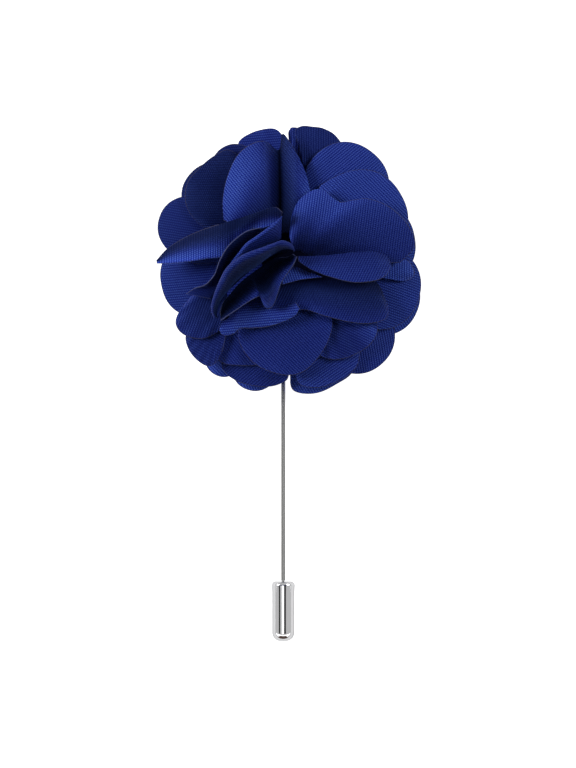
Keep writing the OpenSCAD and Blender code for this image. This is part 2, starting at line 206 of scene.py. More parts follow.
def bumpOf(tree, height, strength, distance):
    node = tree.nodes.new("ShaderNodeBump")
    node.inputs["Strength"].default_value = strength
    node.inputs["Distance"].default_value = distance
    tree.links.new(height, node.inputs["Height"])
    return node.outputs[0]


satin = {
    "thread": (0.0130, 0.0250, 0.155),
    "lit": (0.024, 0.040, 0.22),
    "pale": (0.058, 0.120, 0.40),        # the painted highlight colour, which the cloth pales to where its painted light is above 1
    "valleyShare": (0.02, 0.04, 0.40),   # how much of each colour is left between the ribs
    "paintedHighlightShare": 0.5,
    "pitch": 0.46,                       # mm from rib to rib
    "threadShare": 0.85,
    "wander": 0.12,                      # mm by which the ribs stray
    "bump": 1.0,
    "depth": 0.06 * mm,
    "roughness": 0.34,
    "deepRoughness": 0.55,               # added deep inside the folds, where the cloth is matt
    "deepEnd": 3.0,                      # it ends where the painted light and shade is one over this
    "sheen": 0.15,
    "sheenRoughness": 0.35,
    "sheenTint": (0.10, 0.22, 0.9),
    "glossTint": (0.12, 0.26, 1.0),
    "anisotropy": 0.5,
    "gloss": 0.25,
}


def makeSatin(spec):
    material, tree, shader = newMaterial("royalSatin")
    uv = tree.nodes.new("ShaderNodeUVMap")
    uv.uv_map = "weave"
    weave = tree.nodes.new("ShaderNodeGroup")
    weave.node_tree = twillGroup
    for label, key in (("Pitch", "pitch"), ("Thread Share", "threadShare"), ("Wander", "wander")):
        weave.inputs[label].default_value = spec[key]
    tree.links.new(uv.outputs[0], weave.inputs["Vector"])
    attribute = tree.nodes.new("ShaderNodeAttribute")
    attribute.attribute_name = "lustre"
    lustre = attribute.outputs["Fac"]
    # the painted light and shade scales the cloth's colour: below 1 it is painted shade, and above
    # 1 it is a painted highlight that also pales it
    ground = mixColour(tree, weave.outputs["Mottle"], spec["thread"], spec["lit"])
    shaded = vectorNode(tree, "SCALE", ground, "Scale", lustre)
    # painted highlight: above 1 the colour is paled towards the pale colour
    over = mathNode(tree, "SUBTRACT", lustre, 1.0, clamp=True)
    over = mathNode(tree, "MULTIPLY", over, spec["paintedHighlightShare"])
    bright = mixColour(tree, over, shaded, spec["pale"])
    valley = vectorNode(tree, "MULTIPLY", bright, 1, spec["valleyShare"])
    colour = mixColour(tree, weave.outputs["Valley"], bright, valley)
    tree.links.new(colour, shader.inputs["Base Color"])
    shallow = mathNode(tree, "MULTIPLY", lustre, spec["deepEnd"])
    deep = mathNode(tree, "SUBTRACT", 1.0, shallow, clamp=True)
    added = mathNode(tree, "MULTIPLY", deep, spec["deepRoughness"])
    matt = mathNode(tree, "ADD", added, spec["roughness"])
    tree.links.new(matt, shader.inputs["Roughness"])
    shader.inputs["Specular IOR Level"].default_value = spec["gloss"]
    shader.inputs["Specular Tint"].default_value = (*spec["glossTint"], 1)
    shader.inputs["Sheen Weight"].default_value = spec["sheen"]
    shader.inputs["Sheen Roughness"].default_value = spec["sheenRoughness"]
    shader.inputs["Sheen Tint"].default_value = (*spec["sheenTint"], 1)
    shader.inputs["Anisotropic"].default_value = spec["anisotropy"]
    tangent = tree.nodes.new("ShaderNodeTangent")
    tangent.direction_type = "UV_MAP"
    tangent.uv_map = "weave"
    tree.links.new(tangent.outputs[0], shader.inputs["Tangent"])
    bump = bumpOf(tree, weave.outputs["Height"], spec["bump"], spec["depth"])
    tree.links.new(bump, shader.inputs["Normal"])
    return material


cutEdges = {
    "dark": {"name": "heatCutEdge", "low": (0.010, 0.012, 0.045), "high": (0.055, 0.055, 0.115)},
    "pale": {"name": "palerCutEdge", "low": (0.016, 0.024, 0.10), "high": (0.060, 0.068, 0.16)},
}
cutCloth = {
    "grain": 900, "detail": 2, "roughness": 0.6, "specular": 0.15,
    "bump": 0.4, "depth": 0.05 * mm}


def makeEdge(colours, spec):
    material, tree, shader = newMaterial(colours["name"])
    noise = noiseNode(tree, None, spec["grain"], spec["detail"])
    colour = mixColour(tree, noise, colours["low"], colours["high"])
    tree.links.new(colour, shader.inputs["Base Color"])
    shader.inputs["Roughness"].default_value = spec["roughness"]
    shader.inputs["Specular IOR Level"].default_value = spec["specular"]
    tree.links.new(bumpOf(tree, noise, spec["bump"], spec["depth"]), shader.inputs["Normal"])
    return material


royalSatin = makeSatin(satin)
edgeMaterials = {edge: makeEdge(colours, cutCloth) for edge, colours in cutEdges.items()}
print("satin made")


def rowAt(rows, u):
    # a smooth curve through the rows, at u from 0 to 1
    rows = np.asarray(rows, float)
    last = len(rows) - 1
    i = min(int(math.floor(u * last)), last - 1)
    t = u * last - i
    b, c = rows[i], rows[i + 1]
    a = rows[i - 1] if i > 0 else 2 * b - c
    d = rows[i + 2] if i + 2 <= last else 2 * c - b
    return 0.5 * (2 * b + (c - a) * t + (2 * a - 5 * b + 4 * c - d) * t * t
                  + (3 * b - a - 3 * c + d) * t ** 3)


def polar(angle, r):
    return np.array([math.cos(math.radians(angle)), math.sin(math.radians(angle))]) * r


def softPower(x, square):
    return math.copysign(abs(x) ** (2 / square), x)


def domeZ(r, level):
    ring, root = flower["domeRing"], flower["rootRing"]
    rise = flower["domeHeight"] * (1 - ((r - ring) / (ring - root)) ** 2)
    return seatZ + (level + 1) * flower["clothGap"] + rise


def flatPoint(root, rim, spec, u, t):
    # a point of a flat petal, at u from side to side and t from root to rim
    p = root + t * (rim - root)
    z = domeZ(np.linalg.norm(p), spec["level"])
    droop = flower["droop"] * t ** flower["droopPower"]
    turn = 2 * math.pi * (spec.get("waves", flower["waves"]) * u)
    wave = spec.get("wave", flower["wave"]) * mm * math.sin(turn) * t ** flower["wavePower"]
    return [p[0] * flower["radius"], p[1] * flower["radius"], z - droop + wave]


def roundSheet(spec, us, ts):
    # a petal with a round lobe for its rim
    grid = []
    for u in us:
        f = 2 * u - 1
        phi = math.radians(flower["lobeSweep"] * f)
        along = spec["centre"] + spec["reach"] * softPower(math.cos(phi), spec["square"])
        aside = spec["halfWidth"] * softPower(math.sin(phi), spec["square"])
        rim = polar(spec["angle"], along) + polar(spec["angle"] + 90, aside)
        root = polar(spec["angle"] + f * flower["rootHalfAngle"], flower["rootRing"])
        grid.append([flatPoint(root, rim, spec, u, t) for t in ts])
    return np.array(grid)


def rimSheet(spec, us, ts):
    # a flat petal with a rim drawn through points
    first, last = np.array(spec["root"][0]), np.array(spec["root"][1])
    grid = []
    for u in us:
        rim = rowAt(spec["rim"], u)
        grid.append([flatPoint(first + u * (last - first), rim, spec, u, t) for t in ts])
    return np.array(grid)


folds = {
    "sideShare": 0.12,            # share at each side over which the rolls narrow
    "leastFade": 0.1,
    "hemStart": 0.74,             # where a rolled hem starts on the way from root to rim
    "footEnd": 0.2,               # where a rolled foot or a hidden end stops
    "hemLimit": 0.3,              # the largest rolls, as shares of the petal's run
    "footLimit": 0.2,
}


def foldSection(row, ts, spec, u):
    # one section of a folded petal, from its root to its rim; its hem and its foot may roll under
    r = flower["radius"]
    root = np.array([row[0] * r, row[1] * r, seatZ + row[2] * foldHeight])
    rim = np.array([row[3] * r, row[4] * r, seatZ + row[5] * foldHeight])
    bow = row[6]
    flat = math.hypot(rim[0] - root[0], rim[1] - root[1])
    out = np.array([(rim[0] - root[0]) / flat, (rim[1] - root[1]) / flat, 0])
    rise = np.array([0, 0, 1])
    share = folds["sideShare"]
    fade = max(folds["leastFade"], min(1, u / share, (1 - u) / share)) ** 0.5
    hem = min(spec.get("hemRoll", 0) * mm * fade, folds["hemLimit"] * flat)
    foot = min(spec.get("footRoll", 0) * mm * fade, folds["footLimit"] * flat)
    tail = spec.get("tail", 0) * mm           # how far the hidden end goes straight down
    hemStart = folds["hemStart"] if spec.get("hemRoll") else 1
    footEnd = folds["footEnd"] if spec.get("footRoll") or tail else 0
    start, end = root + out * foot, rim - out * 2 * hem
    run = end - start
    flat = math.hypot(run[0], run[1])
    up = np.array([-run[0] * run[2] / flat, -run[1] * run[2] / flat, flat])
    points = []
    for t in ts:
        if t < footEnd and tail:
            points.append(start - rise * tail * (1 - t / footEnd))
        elif t < footEnd:
            a = (1 - t / footEnd) * math.pi
            points.append(start + foot * (-out * math.sin(a) + rise * (math.cos(a) - 1)))
        elif t > hemStart:
            a = (t - hemStart) / (1 - hemStart) * math.pi
            points.append(end + hem * (out * (1 - math.cos(a)) + rise * math.sin(a)))
        else:
            t = (t - footEnd) / (hemStart - footEnd)
            h = t ** spec.get("late", 1)
            points.append(start + np.array([t * run[0], t * run[1], h * run[2]])
                          + 4 * h * (1 - h) * bow * up)
    return points


def foldedSheet(spec, us, ts):
    return np.array([foldSection(rowAt(spec["rows"], u), ts, spec, u) for u in us])


def spacing(count, edgeShare, both):
    # even steps, with one narrow step at the cut edges
    inner = list(np.linspace(0, 1, count + 1))
    steps = inner[:-1] + [1 - edgeShare, 1]
    return ([0, edgeShare] + steps[1:]) if both else steps


def stepLengths(grid, axis):
    return np.linalg.norm(np.diff(grid, axis=axis), axis=2)


def gridNormals(grid):
    normals = np.cross(np.gradient(grid, axis=0), np.gradient(grid, axis=1))
    length = np.linalg.norm(normals, axis=2, keepdims=True)
    return normals / np.maximum(length, 1e-12)


def sheetFaces(us, m, n, spec):
    # both faces of the sheet and its border; slot 1 is the cut edge
    faces, slots = [], []
    below = m * n
    edge = spec.get("edge", "dark")
    smooth = spec.get("smooth", (2, 2))       # the part of the rim that shows no cut edge
    for i in range(m - 1):
        middle = (us[i] + us[i + 1]) / 2
        cut = edge != "none" and not smooth[0] < middle < smooth[1]
        for j in range(n - 1):
            k = i * n + j
            slot = 1 if cut and (j == n - 2 or i in (0, m - 2)) else 0
            faces.append((k, k + n, k + n + 1, k + 1))
            faces.append((k + below, k + 1 + below, k + n + 1 + below, k + n + below))
            slots += [slot, slot]
    border = list(range(n)) + [i * n + n - 1 for i in range(1, m)]
    border += [(m - 1) * n + j for j in range(n - 2, -1, -1)] + [i * n for i in range(m - 2, 0, -1)]
    for k, p in enumerate(border):
        q = border[(k + 1) % len(border)]
        faces.append((p, q, q + below, p + below))
        slots.append(0 if edge == "none" else 1)
    return faces, slots


# the row, on the way from root to rim, whose length sets a folded petal's weave
weaveRow = 0.7


def weaveMap(grid, spec, followsFold):
    # the cloth's flat coordinates in millimetres, turned to the way its ribs run
    m, n = grid.shape[:2]
    flatU, flatV = grid[..., 0], grid[..., 1]
    if followsFold:
        across, flatV = np.zeros((m, n)), np.zeros((m, n))
        across[1:] = stepLengths(grid, 0)
        flatV[:, 1:] = stepLengths(grid, 1)
        flatU = np.repeat(np.cumsum(across[:, int(n * weaveRow)])[:, None], n, axis=1)
        flatV = np.cumsum(flatV, axis=1)
    a = math.radians(spec.get("weave", 45))
    u = (flatU * math.cos(a) + flatV * math.sin(a)) / mm
    v = (-flatU * math.sin(a) + flatV * math.cos(a)) / mm
    return np.stack([u, v], -1).reshape(-1, 2)


def paintedLightAndShadeMap(us, ts, spec):
    # painted light and shade: a factor on the cloth's colour by rows from root to rim, and from
    # side to side
    byRow, bySide = spec.get("lustre", [1]), spec.get("side", [1])
    return np.outer(np.interp(us, np.linspace(0, 1, len(bySide)), bySide),
                    np.interp(ts, np.linspace(0, 1, len(byRow)), byRow))


# samples and rimRows: how finely a sheet is measured, and over how many rows its width
sheetSize = {"samples": 9, "rimRows": 4, "least": 10 * mm, "spare": 1.02, "leastFill": 0.3}


def makePetal(name, spec, maker, steps):
    samples = np.linspace(0, 1, sheetSize["samples"])
    rough = maker(spec, samples, samples)
    length = stepLengths(rough, 1).sum(1).mean()
    width = stepLengths(rough, 0).sum(0)[-sheetSize["rimRows"]:].mean()
    us = np.array(spacing(steps[0], flower["edgeWidth"] / width, True))
    ts = spacing(steps[1], flower["edgeWidth"] / length, False)
    grid = maker(spec, us, ts)
    if gridNormals(grid)[..., 2].mean() < 0:
        grid, us = grid[::-1], us[::-1]
    under = grid - gridNormals(grid) * flower["clothThickness"]
    vertices = np.concatenate([grid.reshape(-1, 3), under.reshape(-1, 3)])
    faces, slots = sheetFaces(us, *grid.shape[:2], spec)
    mesh = bpy.data.meshes.new(name)
    mesh.from_pydata([tuple(v) for v in vertices], [], faces)
    mesh.materials.append(royalSatin)
    edge = spec.get("edge", "dark")
    if edge != "none":
        mesh.materials.append(edgeMaterials[edge])
    mesh.polygons.foreach_set("material_index", slots)
    mesh.polygons.foreach_set("use_smooth", [True] * len(faces))
    # painted light and shade, kept on the points for the satin: darker in folds and hollows, paler
    # where highlights are painted
    lustre = np.tile(paintedLightAndShadeMap(us, ts, spec).ravel(), 2).astype(np.float32)
    mesh.attributes.new("lustre", "FLOAT", "POINT").data.foreach_set("value", lustre)
    followsFold = maker is foldedSheet and not spec.get("straightWeave")
    weave = np.concatenate([weaveMap(grid, spec, followsFold)] * 2)
    layer = mesh.uv_layers.new(name="weave")
    loops = np.zeros(len(mesh.loops), np.int32)
    mesh.loops.foreach_get("vertex_index", loops)
    layer.data.foreach_set("uv", weave[loops].astype(np.float32).ravel())
    mesh.update()
    petal = bpy.data.objects.new(name + "_satin", mesh)
    bpy.context.scene.collection.objects.link(petal)
    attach(petal, "flower")
    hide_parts(name)


# angle: where the lobe points; centre, reach, halfWidth: shares of the radius; square: how full
# the lobe is; level: its layer; weave: the ribs' angle
# the lists of colour factors from root to rim and from side to side are painted light and shade:
# below 1 painted shade, above 1 a painted highlight
roundPetals = {
    "back_petal_upper_right": {
        "angle": 52, "centre": 0.70, "reach": 0.325, "halfWidth": 0.32, "square": 2.2, "level": 2,
        "weave": 130, "lustre": [1.0, 1.4]},
    "back_petal_right": {
        "angle": 10, "centre": 0.60, "reach": 0.370, "halfWidth": 0.32, "square": 2.3, "level": 1,
        "weave": 100, "lustre": [1.2, 1.8]},
    "middle_petal_upper_right": {
        "angle": 30, "centre": 0.57, "reach": 0.410, "halfWidth": 0.36, "square": 2.3, "level": 3,
        "weave": 45, "lustre": [1.2, 1.5]},
    "back_petal_lower_right": {
        "angle": 338, "centre": 0.70, "reach": 0.350, "halfWidth": 0.30, "square": 2.2, "level": 0,
        "lustre": [1.1, 1.8], "weave": 30},
    "middle_petal_right": {
        "angle": 343, "centre": 0.70, "reach": 0.330, "halfWidth": 0.32, "square": 2.2, "level": 2,
        "weave": 70, "lustre": [0.9, 1.4]},
    "back_petal_bottom_right": {
        "angle": 312, "centre": 0.70, "reach": 0.360, "halfWidth": 0.30, "square": 2.2, "level": 1,
        "lustre": [0.9, 1.3], "weave": 10},
    "back_petal_bottom_left": {
        "angle": 237, "centre": 0.78, "reach": 0.250, "halfWidth": 0.17, "square": 2.2, "level": 1,
        "weave": 45, "lustre": [1.7, 2.6]},
    "back_petal_bottom": {
        "angle": 253, "centre": 0.72, "reach": 0.310, "halfWidth": 0.21, "square": 2.2, "level": 0,
        "weave": 20, "lustre": [1.7, 2.8]},
    "back_petal_left_lower": {
        "angle": 192, "centre": 0.62, "reach": 0.355, "halfWidth": 0.30, "square": 2.4, "level": 0,
        "lustre": [0.9, 1.3], "weave": 95},
    "back_petal_left": {
        "angle": 162, "centre": 0.70, "reach": 0.320, "halfWidth": 0.25, "square": 2.2, "level": 1,
        "weave": 80, "lustre": [0.6, 0.8]},
    "back_petal_upper_left": {
        "angle": 139, "centre": 0.70, "reach": 0.280, "halfWidth": 0.25, "square": 2.2, "level": 0,
        "weave": 70, "lustre": [0.4, 0.55]},
    "back_petal_top_left": {
        "angle": 120, "centre": 0.70, "reach": 0.275, "halfWidth": 0.20, "square": 2.2, "level": 1,
        "weave": 95, "lustre": [0.4, 0.6]},
}

# flat petals with a drawn rim: root and rim are points in shares of the radius, from one
# side to the other
# the lists of colour factors from root to rim and from side to side are painted light and shade:
# below 1 painted shade, above 1 a painted highlight
rimPetals = {
    "back_petal_top": {
        "level": 0, "root": [(-0.07, 0.20), (-0.03, 0.20)], "weave": 95, "lustre": [0.8, 1.1],
        "smooth": (0.5, 1),
        "rim": [
            (-0.39, 0.81), (-0.365, 0.895), (-0.285, 0.95), (-0.20, 0.978), (-0.12, 0.987),
            (-0.07, 0.967), (-0.035, 0.92), (-0.013, 0.86)]},
    "under_petal_top_right": {
        "level": 0, "root": [(0.06, 0.20), (0.085, 0.19)], "weave": 0,
        "rim": [
            (0.008, 0.89), (0.006, 0.955), (0.02, 0.99), (0.05, 0.995), (0.10, 0.985),
            (0.20, 0.95), (0.28, 0.80)]},
    "back_petal_top_right": {
        "level": 1, "root": [(0.21, 0.36), (0.25, 0.34)], "weave": 0, "lustre": [0.5, 0.65],
        "rim": [
            (0.055, 0.93), (0.06, 0.98), (0.11, 1.005), (0.18, 1.00), (0.27, 0.985),
            (0.365, 0.925), (0.45, 0.78), (0.46, 0.62)]},
    "middle_petal_upper_left": {
        "level": 2, "root": [(-0.28, 0.12), (-0.15, 0.26)], "weave": 90, "lustre": [0.2, 0.38],
        "rim": [
            (-0.60, 0.20), (-0.73, 0.33), (-0.775, 0.45), (-0.755, 0.58), (-0.675, 0.68),
            (-0.57, 0.77), (-0.46, 0.825), (-0.37, 0.78)]},
    "under_petal_bottom_right": {
        "level": 0, "root": [(0.04, -0.20), (0.10, -0.18)], "weave": 30, "lustre": [1.4, 1.9],
        "side": [2.0, 1.8, 1.4, 1.1, 1, 1],
        "rim": [
            (0.012, -0.70), (0.015, -0.87), (0.022, -0.96), (0.06, -1.00), (0.15, -1.015),
            (0.25, -1.00), (0.36, -0.945), (0.48, -0.86), (0.52, -0.72)]},
    "middle_petal_bottom_right": {
        "level": 2, "root": [(0.06, -0.20), (0.12, -0.17)], "weave": 125, "lustre": [1.0, 1.2, 1.5],
        "side": [1.2, 1.1, 1, 0.9, 1],
        "rim": [
            (0.05, -0.66), (0.055, -0.84), (0.075, -0.925), (0.13, -0.96), (0.24, -0.965),
            (0.34, -0.935), (0.44, -0.885), (0.52, -0.80), (0.55, -0.66)]},
    "middle_petal_bottom_left": {
        "level": 2, "root": [(-0.12, -0.16), (-0.03, -0.20)], "weave": 130,
        "rim": [
            (-0.50, -0.68), (-0.495, -0.82), (-0.41, -0.905), (-0.28, -0.95),
            (-0.14, -0.96), (-0.04, -0.93), (0.005, -0.88), (0.012, -0.72)]},
    "ribbed_petal_bottom_right": {
        "level": 3, "root": [(0.06, -0.19), (0.14, -0.14)], "weave": 65, "lustre": [0.6, 0.7, 1.1],
        "side": [1.3, 1.1, 0.8, 0.8, 1.0, 1.6, 1.1, 1], "wave": 0.18, "waves": 6,
        "rim": [
            (0.20, -0.70), (0.30, -0.75), (0.41, -0.75), (0.52, -0.71),
            (0.61, -0.65), (0.665, -0.57), (0.67, -0.49), (0.62, -0.40)]},
    "shaded_petal_bottom_left": {
        "level": 3, "root": [(-0.12, -0.16), (-0.06, -0.19)], "weave": 40, "lustre": [0.7, 1.1],
        "rim": [
            (-0.46, -0.50), (-0.53, -0.66), (-0.53, -0.75), (-0.47, -0.79),
            (-0.37, -0.80), (-0.26, -0.80), (-0.18, -0.77), (-0.125, -0.66)]},
    "front_petal_bottom": {
        "level": 4, "root": [(-0.11, -0.17), (0.11, -0.17)], "lustre": [0.6, 0.85, 1.15],
        "weave": 45,
        "rim": [
            (-0.37, -0.46), (-0.375, -0.58), (-0.34, -0.68), (-0.26, -0.78),
            (-0.14, -0.845), (0.00, -0.875), (0.12, -0.845), (0.22, -0.75),
            (0.30, -0.62), (0.335, -0.48), (0.30, -0.36)]},
    "ribbed_petal_lower_left": {
        "level": 4, "root": [(-0.50, -0.34), (-0.44, -0.42)], "weave": 60, "lustre": [0.6, 0.9],
        "wave": 0.12, "waves": 8, "edge": "pale",
        "rim": [
            (-0.72, -0.49), (-0.77, -0.58), (-0.75, -0.675), (-0.69, -0.755),
            (-0.61, -0.805), (-0.545, -0.785), (-0.495, -0.70)]},
    "ribbed_petal_left": {
        "level": 5, "root": [(-0.50, -0.12), (-0.44, -0.33)], "weave": 160, "smooth": (-1, 0.2),
        "lustre": [0.3, 0.5, 1.0], "side": [1.3, 1.2, 1.1, 0.9, 0.8, 0.7], "wave": 0.12, "waves": 6,
        "rim": [
            (-0.65, -0.205), (-0.74, -0.295), (-0.82, -0.40), (-0.845, -0.48), (-0.81, -0.55),
            (-0.735, -0.59), (-0.65, -0.60), (-0.57, -0.575), (-0.505, -0.525), (-0.47, -0.45)]},
    "leaf_right_small": {
        "level": 3, "root": [(0.61, -0.125), (0.61, -0.08)], "weave": 0, "lustre": [1.5, 2.0],
        "rim": [
            (0.78, -0.155), (0.87, -0.165), (0.935, -0.14), (0.95, -0.09),
            (0.90, -0.01), (0.80, -0.02)]},
}
